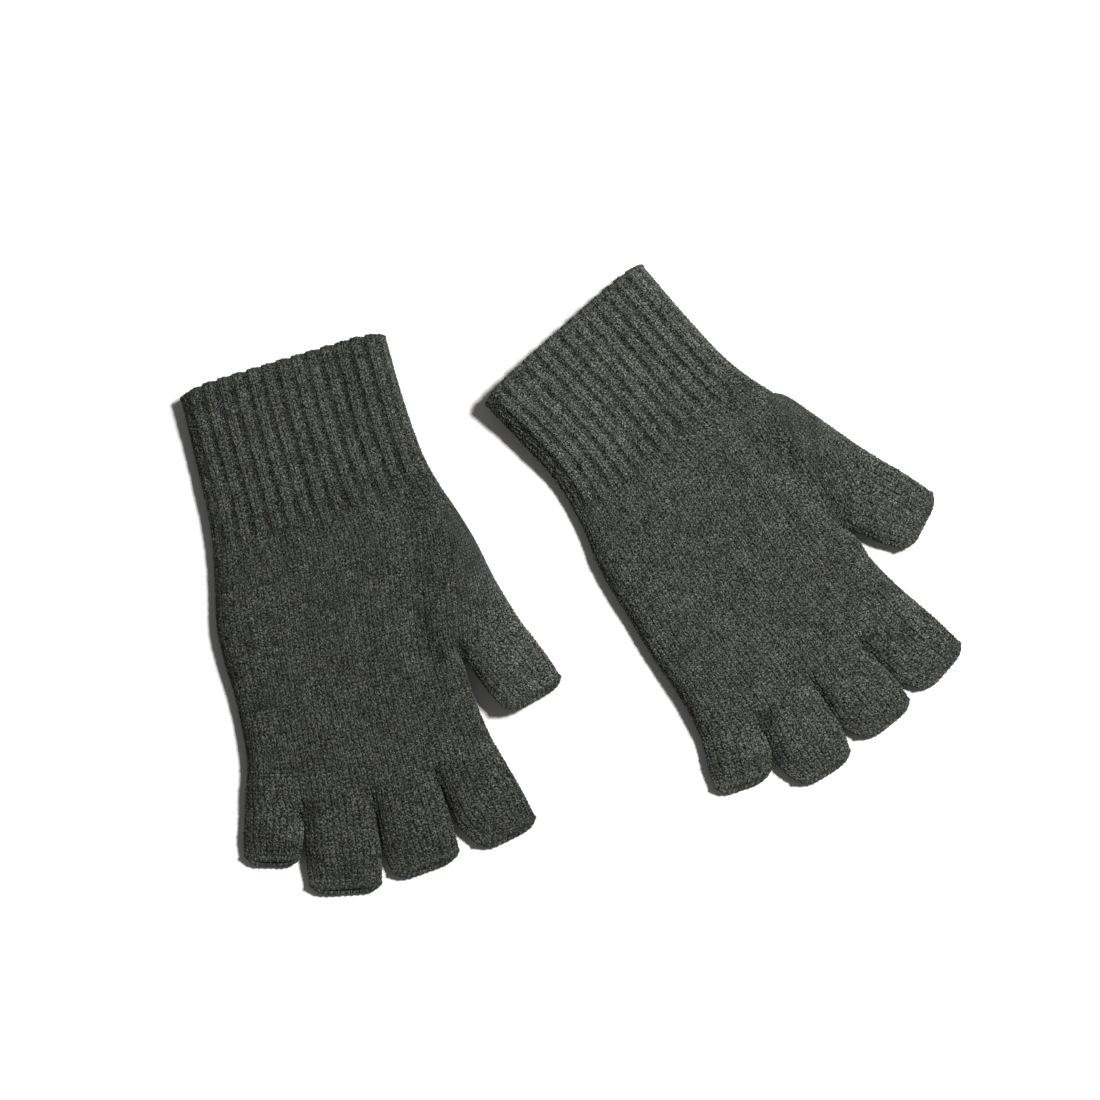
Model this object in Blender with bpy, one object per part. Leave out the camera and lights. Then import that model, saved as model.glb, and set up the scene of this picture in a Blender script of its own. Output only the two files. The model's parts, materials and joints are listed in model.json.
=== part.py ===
"""A pair of knitted fingerless gloves lying flat: ribbed cuffs, hand tubes, short thumb and finger tubes.

Each glove is built in its own frame, with its origin at the middle of the wrist, +Y towards the cuff's mouth and
+Z up from the surface that it lies on. Metres throughout.
"""

import math

import bmesh
import bpy
from mathutils import Vector

# Driving dimensions shared by both gloves.
FABRIC = 0.0019  # thickness of one layer of knit
CLEARANCE = 0.0003  # between two pieces that meet
THICKNESS = 0.0105  # of a tube of the glove lying flat: two layers and the air between
EDGE_ROUND = 0.0042  # how far the rounded side of a tube reaches in
OUTER_LEVELS = 7  # heights at which the outer skin has an outline
INNER_LEVELS = 5  # the same for the hollow
PAST_MOUTH = 0.0015  # how far the hollow's cutter runs past an open end
HINGE_SETBACK = THICKNESS / 2 + 0.0004  # from the end of the hand to the fold line of a finger
CASTOFF_LENGTH = 0.0024
WELT_LENGTH = 0.0030
CUFF_LENGTH = 0.0610  # wrist fold line to mouth
CUFF_STATIONS = 5
CROTCH_WIDTH = 0.0018
CROTCH_LENGTH = 0.0040
CROTCH_ROUND = 0.0006
FINGER_NAMES = ("little", "ring", "middle", "index")

# What differs between the two gloves. Points are (x, y) in the glove's frame; a digit is given by the middle of its
# root line, its lean from straight down towards +X, its width at root and end, and its length.
GLOVES = {
    "right": {
        "wrist_at": (-0.0823, 0.0106),
        "turn_deg": 10.0,
        "cuff_lean_deg": 7.6,
        "cuff_half_widths": (0.0440, 0.0396),  # wrist, mouth
        "cuff_mouth_thickness": 0.0115,
        "outer_edge": (
            (-0.0480, -0.032),
            (-0.0470, -0.050),
            (-0.0448, -0.074),
            (-0.0470, -0.092),
        ),
        "thumb_gusset": ((0.0555, -0.030), (0.0505, -0.014)),
        "index_side": ((0.0425, -0.082), (0.0405, -0.068)),
        "digits": {
            "little": ((-0.0386, -0.1039), -10.9, (0.0225, 0.0207), 0.0179),
            "ring": ((-0.0145, -0.1066), -5.5, (0.0261, 0.0266), 0.0298),
            "middle": ((0.0109, -0.1050), 7.0, (0.0251, 0.0258), 0.0292),
            "index": ((0.0352, -0.0982), 18.2, (0.0252, 0.0226), 0.0318),
            "thumb": ((0.0506, -0.0513), 25.5, (0.0250, 0.0240), 0.0300),
        },
    },
    "left": {
        "wrist_at": (0.0443, 0.0362),
        "turn_deg": 37.0,
        "cuff_lean_deg": 4.2,
        "cuff_half_widths": (0.0420, 0.0393),
        "cuff_mouth_thickness": 0.0150,
        "outer_edge": (
            (-0.0478, -0.024),
            (-0.0495, -0.045),
            (-0.0518, -0.068),
            (-0.0545, -0.086),
        ),
        "thumb_gusset": ((0.0535, -0.028), (0.0480, -0.014)),
        "index_side": ((0.0380, -0.088), (0.0360, -0.072)),
        "digits": {
            "little": ((-0.0455, -0.0993), -21.0, (0.0225, 0.0212), 0.0168),
            "ring": ((-0.0220, -0.1035), -6.0, (0.0240, 0.0229), 0.0268),
            "middle": ((0.0022, -0.1034), 4.0, (0.0236, 0.0228), 0.0266),
            "index": ((0.0258, -0.1000), 14.5, (0.0250, 0.0222), 0.0284),
            "thumb": ((0.0470, -0.0540), 29.0, (0.0250, 0.0238), 0.0280),
        },
    },
}
HAND_COLOUR = (0.050, 0.053, 0.046)
RIB_COLOUR = (0.054, 0.057, 0.050)
EDGE_COLOUR = (0.040, 0.042, 0.037)
STITCH_COLOUR = (0.034, 0.036, 0.032)
KNIT_ROUGHNESS = 0.95


def clear_scene():
    for obj in list(bpy.data.objects):
        bpy.data.objects.remove(obj)


def knit_material(name, colour):
    material = bpy.data.materials.new(name)
    material.use_nodes = True
    shader = material.node_tree.nodes["Principled BSDF"]
    shader.inputs["Base Color"].default_value = (*colour, 1.0)
    shader.inputs["Roughness"].default_value = KNIT_ROUGHNESS
    shader.inputs["Metallic"].default_value = 0.0
    return material


def lean_direction(lean_deg):
    """The unit vector along a digit, which leans from -Y towards +X."""
    lean = math.radians(lean_deg)
    return Vector((math.sin(lean), -math.cos(lean)))


def across_direction(lean_deg):
    lean = math.radians(lean_deg)
    return Vector((math.cos(lean), math.sin(lean)))


def line_meeting(point_a, along_a, point_b, along_b):
    """Where two lines cross; for two almost parallel ones, the point midway between their anchors."""
    determinant = along_a.cross(along_b)
    if abs(determinant) < 0.02:
        return (point_a + point_b) / 2
    return point_a + along_a * ((point_b - point_a).cross(along_b) / determinant)


def inset_outline(outline, distances):
    """Moves each edge of an anticlockwise outline inwards by its own distance. Edge i runs from point i to i + 1."""
    count = len(outline)
    points = []
    for i in range(count):
        before = (outline[i] - outline[i - 1]).normalized()
        after = (outline[(i + 1) % count] - outline[i]).normalized()
        inward_before = Vector((-before.y, before.x))
        inward_after = Vector((-after.y, after.x))
        anchor_before = outline[i] + inward_before * distances[i - 1]
        anchor_after = outline[i] + inward_after * distances[i]
        points.append(line_meeting(anchor_before, before, anchor_after, after))
    return points


def round_inset(height, thickness, depth):
    """How far a rounded side of the given depth is drawn in at this height of a slab."""
    offset = 2 * height / thickness - 1
    return depth * (1 - math.sqrt(max(0.0, 1 - offset * offset)))


def knuckle_reach(height, thickness):
    """How far the rounded root of a hinged tube reaches past its fold line at this height."""
    half = thickness / 2
    return math.sqrt(max(0.0, half * half - (height - half) ** 2))


def slab_heights(low, high, levels):
    middle = (low + high) / 2
    half = (high - low) / 2
    return [middle - half * math.cos(math.pi * k / (levels - 1)) for k in range(levels)]


def stacked_solid(outline, heights, edge_distances):
    """A closed solid whose outline at each height is the given one with each edge moved in as edge_distances says."""
    mesh = bmesh.new()
    rings = []
    for height in heights:
        ring = inset_outline(outline, edge_distances(height))
        rings.append([mesh.verts.new((p.x, p.y, height)) for p in ring])
    for lower, upper in zip(rings, rings[1:]):
        for i in range(len(lower)):
            j = (i + 1) % len(lower)
            mesh.faces.new((lower[i], lower[j], upper[j], upper[i]))
    mesh.faces.new(list(reversed(rings[0])))
    mesh.faces.new(rings[-1])
    bmesh.ops.recalc_face_normals(mesh, faces=mesh.faces)
    return mesh


def swell(mesh, mouth_thickness, length):
    """Thickens a slab steadily from THICKNESS at y = 0 to mouth_thickness at y = length."""
    for vertex in mesh.verts:
        share = max(0.0, vertex.co.y) / length
        vertex.co.z *= 1 + (mouth_thickness / THICKNESS - 1) * share


def mesh_object(name, mesh, parent):
    data = bpy.data.meshes.new(name)
    mesh.to_mesh(data)
    mesh.free()
    obj = bpy.data.objects.new(name, data)
    bpy.context.collection.objects.link(obj)
    obj.parent = parent
    return obj


def finish_part(obj, material):
    obj.data.materials.append(material)
    obj.data.shade_smooth()
    obj.data.set_sharp_from_angle(angle=math.radians(40))


def knit_tube(name, outline, mouths, root, material, parent, change=None):
    """A hollow flattened tube. mouths are the edges left open; root is one of them with a rounded end, or None.

    change, where given, reshapes both the skin and the hollow after they are made.
    """
    edges = range(len(outline))

    def skin(height):
        side = round_inset(height, THICKNESS, EDGE_ROUND)
        reach = knuckle_reach(height, THICKNESS)
        return [-reach if i == root else 0.0 if i in mouths else side for i in edges]

    def hollow(height):
        side = FABRIC + round_inset(height - FABRIC, THICKNESS - 2 * FABRIC, EDGE_ROUND - FABRIC / 2)
        past_root = THICKNESS / 2 + PAST_MOUTH
        return [-past_root if i == root else -PAST_MOUTH if i in mouths else side for i in edges]

    outer = stacked_solid(outline, slab_heights(0.0, THICKNESS, OUTER_LEVELS), skin)
    inner = stacked_solid(outline, slab_heights(FABRIC, THICKNESS - FABRIC, INNER_LEVELS), hollow)
    for mesh in (outer, inner):
        if change:
            change(mesh)
    tube = mesh_object(name, outer, parent)
    cutter = mesh_object(name + "_hollow", inner, parent)
    cutter.hide_render = True
    cutter.display_type = "WIRE"
    cut = tube.modifiers.new("hollow", "BOOLEAN")
    cut.operation = "DIFFERENCE"
    cut.solver = "EXACT"
    cut.object = cutter
    finish_part(tube, material)
    return tube, cutter


def digit_corners(digit, clear):
    """The two root corners of a digit, left then right, each clear of its neighbour by this much."""
    centre, lean, widths, _ = digit
    across = across_direction(lean) * (widths[0] / 2 - clear)
    return Vector(centre) - across, Vector(centre) + across


def wrist_corners(glove):
    """The ends of the hand's wrist opening, left then right, parallel to the cuff's fold line."""
    lean = glove["cuff_lean_deg"]
    across = across_direction(lean) * glove["cuff_half_widths"][0]
    middle = lean_direction(lean) * HINGE_SETBACK
    return middle - across, middle + across


def hand_outline(glove):
    """The anticlockwise outline of the hand tube, and the edges of it that are open."""
    wrist_left, wrist_right = wrist_corners(glove)
    points = [wrist_left]
    points.extend(Vector(p) for p in glove["outer_edge"])
    first_mouth = len(points)
    for name in FINGER_NAMES:
        points.extend(digit_corners(glove["digits"][name], CROTCH_WIDTH / 2))
    mouths = set(range(first_mouth, len(points) - 1))
    points.extend(Vector(p) for p in glove["index_side"])
    mouths.add(len(points))
    points.extend(digit_corners(glove["digits"]["thumb"], 0.0))
    points.extend(Vector(p) for p in glove["thumb_gusset"])
    points.append(wrist_right)
    mouths.add(len(points) - 1)
    return points, mouths


def make_hand(side, glove, frame, material):
    outline, mouths = hand_outline(glove)
    knit_tube(f"{side}_hand", outline, mouths, None, material, frame)


def make_digit(side, name, glove, frame, tube_material, edge_material):
    """A finger or thumb tube with its origin on its fold line, and the cast-off edge at its end."""
    centre, lean, (root_width, end_width), length = glove["digits"][name]
    hinge = bpy.data.objects.new(f"{side}_{name}_fold", None)
    bpy.context.collection.objects.link(hinge)
    hinge.parent = frame
    at = Vector(centre) + lean_direction(lean) * HINGE_SETBACK
    hinge.location = (at.x, at.y, 0.0)
    hinge.rotation_euler.z = math.radians(lean)
    root_half = root_width / 2 - CROTCH_WIDTH / 2 - CLEARANCE
    end_half = end_width / 2
    tube_end = -(length - HINGE_SETBACK - CASTOFF_LENGTH - CLEARANCE)
    tube_outline = [
        Vector((-root_half, 0.0)),
        Vector((-end_half, tube_end)),
        Vector((end_half, tube_end)),
        Vector((root_half, 0.0)),
    ]
    knit_tube(f"{side}_{name}", tube_outline, {1, 3}, 3, tube_material, hinge)
    edge_start = tube_end - CLEARANCE
    edge_end = edge_start - CASTOFF_LENGTH
    edge_outline = [
        Vector((-end_half, edge_start)),
        Vector((-end_half, edge_end)),
        Vector((end_half, edge_end)),
        Vector((end_half, edge_start)),
    ]
    knit_tube(f"{side}_{name}_castoff", edge_outline, {1, 3}, None, edge_material, hinge)


def cuff_half_width(glove, y):
    """The rib draws the cuff in soon after the wrist, and then runs almost parallel."""
    wrist, mouth = glove["cuff_half_widths"]
    return mouth + (wrist - mouth) * (1 - y / CUFF_LENGTH) ** 3


def make_cuff(side, glove, frame, rib_material, edge_material):
    fold = bpy.data.objects.new(f"{side}_wrist_fold", None)
    bpy.context.collection.objects.link(fold)
    fold.parent = frame
    fold.rotation_euler.z = math.radians(glove["cuff_lean_deg"])
    rib_end = CUFF_LENGTH - WELT_LENGTH - CLEARANCE
    ys = [rib_end * k / (CUFF_STATIONS - 1) for k in range(CUFF_STATIONS)]
    right_side = [Vector((cuff_half_width(glove, y), y)) for y in ys]
    left_side = [Vector((-p.x, p.y)) for p in reversed(right_side)]
    outline = right_side + left_side

    def swell_cuff(mesh):
        swell(mesh, glove["cuff_mouth_thickness"], CUFF_LENGTH)

    root_edge = len(outline) - 1
    knit_tube(f"{side}_cuff_rib", outline, {CUFF_STATIONS - 1, root_edge}, root_edge, rib_material, fold, swell_cuff)
    welt_start = rib_end + CLEARANCE
    half = cuff_half_width(glove, CUFF_LENGTH)
    welt = [
        Vector((half, welt_start)),
        Vector((half, CUFF_LENGTH)),
        Vector((-half, CUFF_LENGTH)),
        Vector((-half, welt_start)),
    ]
    knit_tube(f"{side}_cuff_welt", welt, {1, 3}, None, edge_material, fold, swell_cuff)


def make_crotch(name, corner_a, corner_b, lean, frame, material):
    """The joining stitches between two digits: a short post, just past the end of the hand."""
    along = lean_direction(lean)
    middle = (corner_a + corner_b) / 2 + along * (CROTCH_LENGTH / 2 + CROTCH_WIDTH)
    half_width = CROTCH_WIDTH / 2 - CLEARANCE
    half_length = CROTCH_LENGTH / 2
    outline = [
        Vector((half_width, -half_length)),
        Vector((half_width, half_length)),
        Vector((-half_width, half_length)),
        Vector((-half_width, -half_length)),
    ]

    def rounded(height):
        return [round_inset(height, THICKNESS, CROTCH_ROUND)] * len(outline)

    mesh = stacked_solid(outline, slab_heights(0.0, THICKNESS, INNER_LEVELS), rounded)
    post = mesh_object(name, mesh, frame)
    post.location = (middle.x, middle.y, 0.0)
    post.rotation_euler.z = math.radians(lean)
    finish_part(post, material)


def make_crotches(side, glove, frame, material):
    digits = glove["digits"]
    for first, second in zip(FINGER_NAMES, FINGER_NAMES[1:]):
        lean = (digits[first][1] + digits[second][1]) / 2
        corner_a = digit_corners(digits[first], 0.0)[1]
        corner_b = digit_corners(digits[second], 0.0)[0]
        make_crotch(f"{side}_crotch_{first}_{second}", corner_a, corner_b, lean, frame, material)
    hand_corner = digit_corners(digits["thumb"], 0.0)[0]
    thumb_corner = digit_corners(digits["thumb"], CROTCH_WIDTH / 2 + CLEARANCE)[0]
    make_crotch(f"{side}_crotch_thumb", hand_corner, thumb_corner, digits["thumb"][1] / 2, frame, material)


def make_glove(side, glove, materials):
    frame = bpy.data.objects.new(f"{side}_glove", None)
    bpy.context.collection.objects.link(frame)
    frame.location = (*glove["wrist_at"], 0.0)
    frame.rotation_euler.z = math.radians(glove["turn_deg"])
    make_hand(side, glove, frame, materials["hand"])
    make_cuff(side, glove, frame, materials["rib"], materials["edge"])
    for name in glove["digits"]:
        make_digit(side, name, glove, frame, materials["hand"], materials["edge"])
    make_crotches(side, glove, frame, materials["stitch"])
    return frame


def centre_pair(frames):
    """Moves both gloves so that the middle of their common outline is at x = 0, y = 0."""
    bpy.context.view_layer.update()
    corners = []
    for obj in bpy.data.objects:
        if obj.type == "MESH" and not obj.hide_render:
            corners.extend(obj.matrix_world @ vertex.co for vertex in obj.data.vertices)
    for frame in frames:
        frame.location.x -= (min(c.x for c in corners) + max(c.x for c in corners)) / 2
        frame.location.y -= (min(c.y for c in corners) + max(c.y for c in corners)) / 2


def main():
    clear_scene()
    frames = []
    for side, glove in GLOVES.items():
        materials = {
            "hand": knit_material(f"{side}_hand_knit", HAND_COLOUR),
            "rib": knit_material(f"{side}_rib_knit", RIB_COLOUR),
            "edge": knit_material(f"{side}_edge_knit", EDGE_COLOUR),
            "stitch": knit_material(f"{side}_joining_stitch", STITCH_COLOUR),
        }
        frames.append(make_glove(side, glove, materials))
    centre_pair(frames)


main()
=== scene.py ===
"""The looks of a pair of knitted fingerless gloves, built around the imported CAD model.

Every section of a glove is a grid whose columns are wales and whose rows are courses, several
cells to a stitch, so that the stitches, ribs and edges are real relief. Lengths are in metres. A
glove's own frame has its origin at the middle of the wrist fold, +Y towards the cuff's mouth and
+Z up.
"""

import json
import math
from collections import namedtuple

import bpy
import numpy as np
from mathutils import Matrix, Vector


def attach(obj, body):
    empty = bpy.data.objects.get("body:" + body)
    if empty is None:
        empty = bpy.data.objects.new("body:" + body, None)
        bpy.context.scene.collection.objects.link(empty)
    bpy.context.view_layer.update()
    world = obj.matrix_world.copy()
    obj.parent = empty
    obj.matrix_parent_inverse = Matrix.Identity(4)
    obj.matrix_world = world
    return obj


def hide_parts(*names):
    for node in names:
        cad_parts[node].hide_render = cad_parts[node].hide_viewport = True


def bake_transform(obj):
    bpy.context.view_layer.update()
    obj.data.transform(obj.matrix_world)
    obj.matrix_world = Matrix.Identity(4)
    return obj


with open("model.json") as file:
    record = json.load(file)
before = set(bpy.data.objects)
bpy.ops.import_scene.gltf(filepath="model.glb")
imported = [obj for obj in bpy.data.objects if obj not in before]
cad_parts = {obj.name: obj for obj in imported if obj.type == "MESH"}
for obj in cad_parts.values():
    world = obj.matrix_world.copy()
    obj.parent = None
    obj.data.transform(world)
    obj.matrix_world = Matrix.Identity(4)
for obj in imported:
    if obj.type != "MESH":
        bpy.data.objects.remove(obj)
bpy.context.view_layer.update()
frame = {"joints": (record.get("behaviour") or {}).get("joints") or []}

SEED = 363

# ---- the knit
FABRIC = 0.0018  # thickness of one layer
CELLS_ACROSS = 6  # to one wale
CELLS_ALONG = 5  # to one course
COURSE = 0.00161  # height of one course of the hand
FULL_WALE = 0.0021  # the relief is lower where a wale is narrower than this
BASE_LEVEL = 0.35  # the share of the relief that lies at the base surface
STITCH_SLANT = 0.62  # courses by which the sides of a stitch stand higher than its middle
STITCH_RELIEF = 0.00044  # from the groove between two legs to the top of a leg
RIB_RELIEF = 0.00064  # from the bottom of a purl groove to the top of a rib
RIB_BASE_LEVEL = 0.75
FUZZ_RELIEF = 0.000130  # unevenness of the fuzzy yarn from one grid point to the next
FUZZ_PAINTED_SHADE = 0.38  # and the painted shade that follows it: a point is painted paler where it stands higher and darker where lower
FUZZ_LIMIT = 2.2
FUZZ_TABLE = (601, 701)  # sizes of the random tables, after which they repeat
LOOP_TABLE = (97, 89)
FUZZ_START = 1.5  # courses from the wrist's join over which the fuzz sets in
RIB_WALES = 3  # two knit wales and one purl wale
CUFF_RIBS = 15  # on each face of a cuff
CUFF_WALES = CUFF_RIBS * RIB_WALES
FINGERS = ("little", "ring", "middle", "index")
WALES = {"little": 10, "ring": 12, "middle": 12, "index": 11, "thumb": 12}  # on each face
FINGER_WALES = [WALES[name] for name in FINGERS]
PALM_WALES = sum(FINGER_WALES)
MIRROR = 2 * (PALM_WALES + WALES["thumb"])  # the under face of wale w is wale MIRROR - w
CUFF_WALE_SHIFT = 200.5
TORN_SPREAD = 3  # wales; only a face that closes a ring spans more
HAND_COURSES = (30, 28)  # from the cuff's piece to the thumb's crotch, and on to the finger roots
PLAIN_COURSES = 7  # of plain knit at the cuff piece's lower end
RIB_START = (PLAIN_COURSES - 2.5, PLAIN_COURSES + 3.5)  # courses between which the ribs form
CUFF_TONE_COURSES = (4, 18)  # over which the cuff turns paler
SIDE_WALES = (2, 6)  # from the sides of a cuff, between which its ribs reach their full depth
WELT_SCALLOP = 0.0003  # how much further the ribs reach at the mouth than the furrows
WELT_START = 0.93  # share of the cuff's length after which they do

# ---- the cross-section of a tube lying flat
FLOOR_GAP = 0.0011  # under the lowest base surface, so that the relief clears the floor
EDGE_HEIGHT = 0.0042  # of the line where the upper and under faces meet
HAND_TOP = 0.0092
DIGIT_TOP = 0.0086
UP_HAND = HAND_TOP - EDGE_HEIGHT
UP_DIGIT = DIGIT_TOP - EDGE_HEIGHT
DOWN = EDGE_HEIGHT - FLOOR_GAP
LAYER_GAP = 0.0002  # kept between the edge's height and the inner face of each layer
HAND_ROUND = 0.0075  # how far in the rounded side of the hand reaches
DIGIT_ROUND = 0.0070
HAND_CROWN = 0.10  # how much lower the rounded top is at the sides, as a share
DIGIT_CROWN = 0.30
CROWN_GAIN = 0.25  # how much rounder a digit is past its root
SLOPE_TURN = 0.8  # share of a straight slope after which it turns level
FLANK_REACH = 0.0053  # width of the straight slope where a lifted cuff falls away
SECTION_SAMPLES = 72
CURVE_STEPS = 24

# ---- how the sections run into each other
SPLIT_FADE = 0.13  # share of a section over which a crotch's dip grows
FOLD_FADE = 0.60  # and that over which a shallow fold leads to it
FOLD_SHARE = 0.10
THUMB_SHARE = 0.045  # of the hand's width that the thumb's gusset takes at the wrist
THUMB_GUIDE = 0.55  # how far towards the crotch the gusset's line is at half its length
THUMB_GUIDE_BEND = 0.0012
EDGE_STEPS = 400  # points along the hand's left edge, of which one in EDGE_PICK is kept
EDGE_PICK = 8
GUIDE_STEPS = 401
GUIDE_PICK = 20
BLEND_REACH = 0.0115  # length of the bend marked across a digit's fold
WRIST_REACH = 0.0105  # from the wrist fold to each end of its bend

# ---- the cuff, by distances from the wrist fold towards the mouth
CUFF_RISE = (-0.002, 0.060)  # where its top passes from the hand's height to the mouth's
CUFF_LIFT = (-0.004, 0.060)  # where the lift grows
CUFF_LIFT_ACROSS = (0.026, -0.038)  # from the side that stays down to the side that lifts
FLANK_START = (-0.004, 0.016)
FLANK_END = (0.040, 0.058)
FLANK_LOSS = 0.6  # share of the flank's slope that is round again at the mouth
CUFF_CORNER = (0.035, 0.061)  # where the corners are drawn in
CUFF_CORNER_PULL = 0.0018
CUFF_HALF = 0.0400  # half the width of a cuff's mouth

# ---- mouths and edges
SHORTEST_DIGIT = 6  # courses
MOUTH_START = 0.45  # share of a digit's length after which it takes the shape of its mouth
MOUTH_STEP = 0.0017  # how much further the under layer of a digit reaches
MOUTH_SAG = 0.92  # how far the upper layer sinks, as a share of its height
MOUTH_CORNERS = (0.0015, 0.0008)  # how far the left and right corners are drawn in
LIP_RADIUS = 0.00100
LIP_SIDES = 12
LIP_TURNS = 40  # keeps the pattern of an edge apart from that of the knit
CASTOFF_SEAT = (0.42, 0.00035)  # how deep an edge sits, in thicknesses of fabric, and how far out
WELT_SEAT = (0.45, 0.0002)

# ---- the loops of yarn at a crotch
BIGHTS = ((0.0004, 0.0066), (0.0016, 0.0062), (0.0028, 0.0056))  # (distance out, top) of each
BIGHT_HALF_SPAN = 0.0013
BIGHT_LEAN = 0.0003
BIGHT_FOOT = 0.0030
BIGHT_RADIUS = 0.00048
BIGHT_STEPS = 13
BIGHT_SIDES = 8
BIGHT_TURNS = 60
# painted shade: the relief value of the loops, which paints them a little darker
BIGHT_RELIEF = 0.6
CROTCHES = (("little", "ring"), ("ring", "middle"), ("middle", "index"), ("index", "thumb"))

# ---- the unevenness of loose cloth
CREASE_STEPS = 60
CREASE_HEIGHTS = (0.0048, 0.0078)  # where a crease starts to press in, and presses in fully
WAVE_HEIGHT = 0.00095
WAVE_HEIGHTS = (0.0030, 0.0080)
WAVES = (  # (share of the height, radians a metre along x and y, share of the phase, start)
    (0.30, 95, 62, 1.0, 0.0),
    (0.26, -58, 128, 2.1, 1.0),
    (0.20, 210, 75, 3.3, 0.0),
    (0.14, 160, -250, 0.7, 0.0),
    (0.10, 390, 330, 1.9, 0.0),
    (0.09, 720, -410, 2.7, 0.0),
    (0.08, 560, 880, 1.1, 0.0),
    (0.05, -1150, 700, 3.9, 0.0),
)
FIRST_PHASE = 1.3
PHASE_STEP = 2.4  # from one glove to the next

# ---- the two gloves
# Points in plan in a glove's own frame, in its left and right as it lies. "ends" are the two corners
# of each mouth, "bellies" how far the two sides of each digit swell out, and "creases" rows of
# (points, depth, width). The lifts are heights off the table. "tone" is the shade of the yarn, the
# cuff's tone how much paler the cuff is made, and the thumb's the painted light that makes it paler.
RIGHT = {
    "cuff_lean_deg": 7.6,
    "left_edge": (
        (-0.0462, -0.0166), (-0.0481, -0.0324), (-0.0475, -0.0451), (-0.0454, -0.0621),
        (-0.0449, -0.0830), (-0.0470, -0.0930), (-0.0488, -0.1017),
    ),
    "right_edge": ((0.0473, -0.0043), (0.0521, -0.0168), (0.0569, -0.0330), (0.0628, -0.0483)),
    "index_edge": (
        (0.0392, -0.0566), (0.0402, -0.0650), (0.0424, -0.0790), (0.0455, -0.0915), (0.0467, -0.0944),
    ),
    "crotches": ((-0.0275, -0.1060), (-0.0014, -0.1072), (0.0231, -0.1017)),
    "split_left": (-0.0458, -0.0600),
    "ends": {
        "little": ((-0.0522, -0.1196), (-0.0319, -0.1235)),
        "ring": ((-0.0300, -0.1347), (-0.0036, -0.1378)),
        "middle": ((0.0012, -0.1355), (0.0267, -0.1310)),
        "index": ((0.0342, -0.1305), (0.0568, -0.1236)),
        "thumb": ((0.0524, -0.0825), (0.0752, -0.0736)),
    },
    "cuff_left": (
        (-0.0481, -0.0105), (-0.0454, 0.0), (-0.0430, 0.0140), (-0.0417, 0.0300), (-0.0398, 0.0617),
    ),
    "cuff_right": (
        (0.0462, -0.0105), (0.0430, 0.0), (0.0408, 0.0100), (0.0398, 0.0220), (0.0396, 0.0400),
        (0.0402, 0.0617),
    ),
    "cuff_mouth_top": 0.0108,
    "cuff_lift": 0.0006,
    "cuff_flank": 0.0,
    "thumb_lift": 0.0055,
    "bellies": {
        "little": (0.0004, 0.0005), "ring": (0.0006, 0.0008), "middle": (0.0012, 0.0006),
        "index": (0.0026, 0.0004), "thumb": (0.0008, 0.0004),
    },
    "creases": (
        (((0.0345, -0.0610), (0.0275, -0.0568), (0.0258, -0.0466), (0.0265, -0.0360), (0.0290, -0.0252),
          (0.0297, -0.0129), (0.0276, -0.0029)), 0.0024, 0.0042),
        (((0.0296, -0.0640), (0.0272, -0.0560), (0.0262, -0.0460)), 0.0009, 0.0032),
        (((0.0350, -0.0560), (0.0360, -0.0585)), -0.0008, 0.0022),
    ),
    "tone": 0.605,
    "cuff_tone": 0.28,
    "thumb_tone": 0.56,
}
LEFT = {
    "cuff_lean_deg": 4.2,
    "left_edge": (
        (-0.0455, -0.0130), (-0.0477, -0.0244), (-0.0493, -0.0400), (-0.0513, -0.0593),
        (-0.0523, -0.0772), (-0.0545, -0.0900), (-0.0554, -0.0933),
    ),
    "right_edge": ((0.0460, -0.0060), (0.0495, -0.0118), (0.0564, -0.0345), (0.0606, -0.0465)),
    "index_edge": (
        (0.0352, -0.0604), (0.0366, -0.0698), (0.0360, -0.0777), (0.0372, -0.0884), (0.0388, -0.0967),
    ),
    "crotches": ((-0.0344, -0.1014), (-0.0097, -0.1028), (0.0140, -0.1019)),
    "split_left": (-0.0512, -0.0590),
    "ends": {
        "little": ((-0.0630, -0.1119), (-0.0424, -0.1191)),
        "ring": ((-0.0370, -0.1288), (-0.0139, -0.1308)),
        "middle": ((-0.0077, -0.1295), (0.0156, -0.1287)),
        "index": ((0.0210, -0.1285), (0.0438, -0.1235)),
        "thumb": ((0.0482, -0.0830), (0.0704, -0.0725)),
    },
    "cuff_left": (
        (-0.0464, -0.0105), (-0.0426, 0.0), (-0.0393, 0.0160), (-0.0387, 0.0260), (-0.0392, 0.0400),
        (-0.0400, 0.0592),
    ),
    "cuff_right": (
        (0.0452, -0.0105), (0.0422, 0.0), (0.0399, 0.0120), (0.0393, 0.0300), (0.0398, 0.0612),
    ),
    "cuff_mouth_top": 0.0112,
    "cuff_lift": 0.0040,
    "cuff_flank": 1.0,
    "thumb_lift": 0.0010,
    "bellies": {
        "little": (0.0004, 0.0018), "ring": (0.0026, 0.0014), "middle": (0.0026, 0.0010),
        "index": (0.0026, 0.0004), "thumb": (0.0008, 0.0004),
    },
    "creases": (
        (((0.0362, -0.0585), (0.0350, -0.0535), (0.0334, -0.0427), (0.0315, -0.0328), (0.0282, -0.0217),
          (0.0244, -0.0113)), 0.0021, 0.0040),
        (((0.0352, -0.0575), (0.0342, -0.0490)), 0.0015, 0.0030),
    ),
    "tone": 0.742,
    "cuff_tone": 0.36,
    "thumb_tone": 0.10,
}
GLOVES = {"right": RIGHT, "left": LEFT}

# ---- the heathered yarn, as linear colours
YARN_SHADES = ((0.0048, 0.0050, 0.0045), (0.0600, 0.0637, 0.0560), (0.136, 0.1445, 0.1272))
YARN_TEAL = (0.030, 0.0620, 0.0590)
YARN_BROWN = (0.090, 0.0600, 0.0400)
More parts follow.
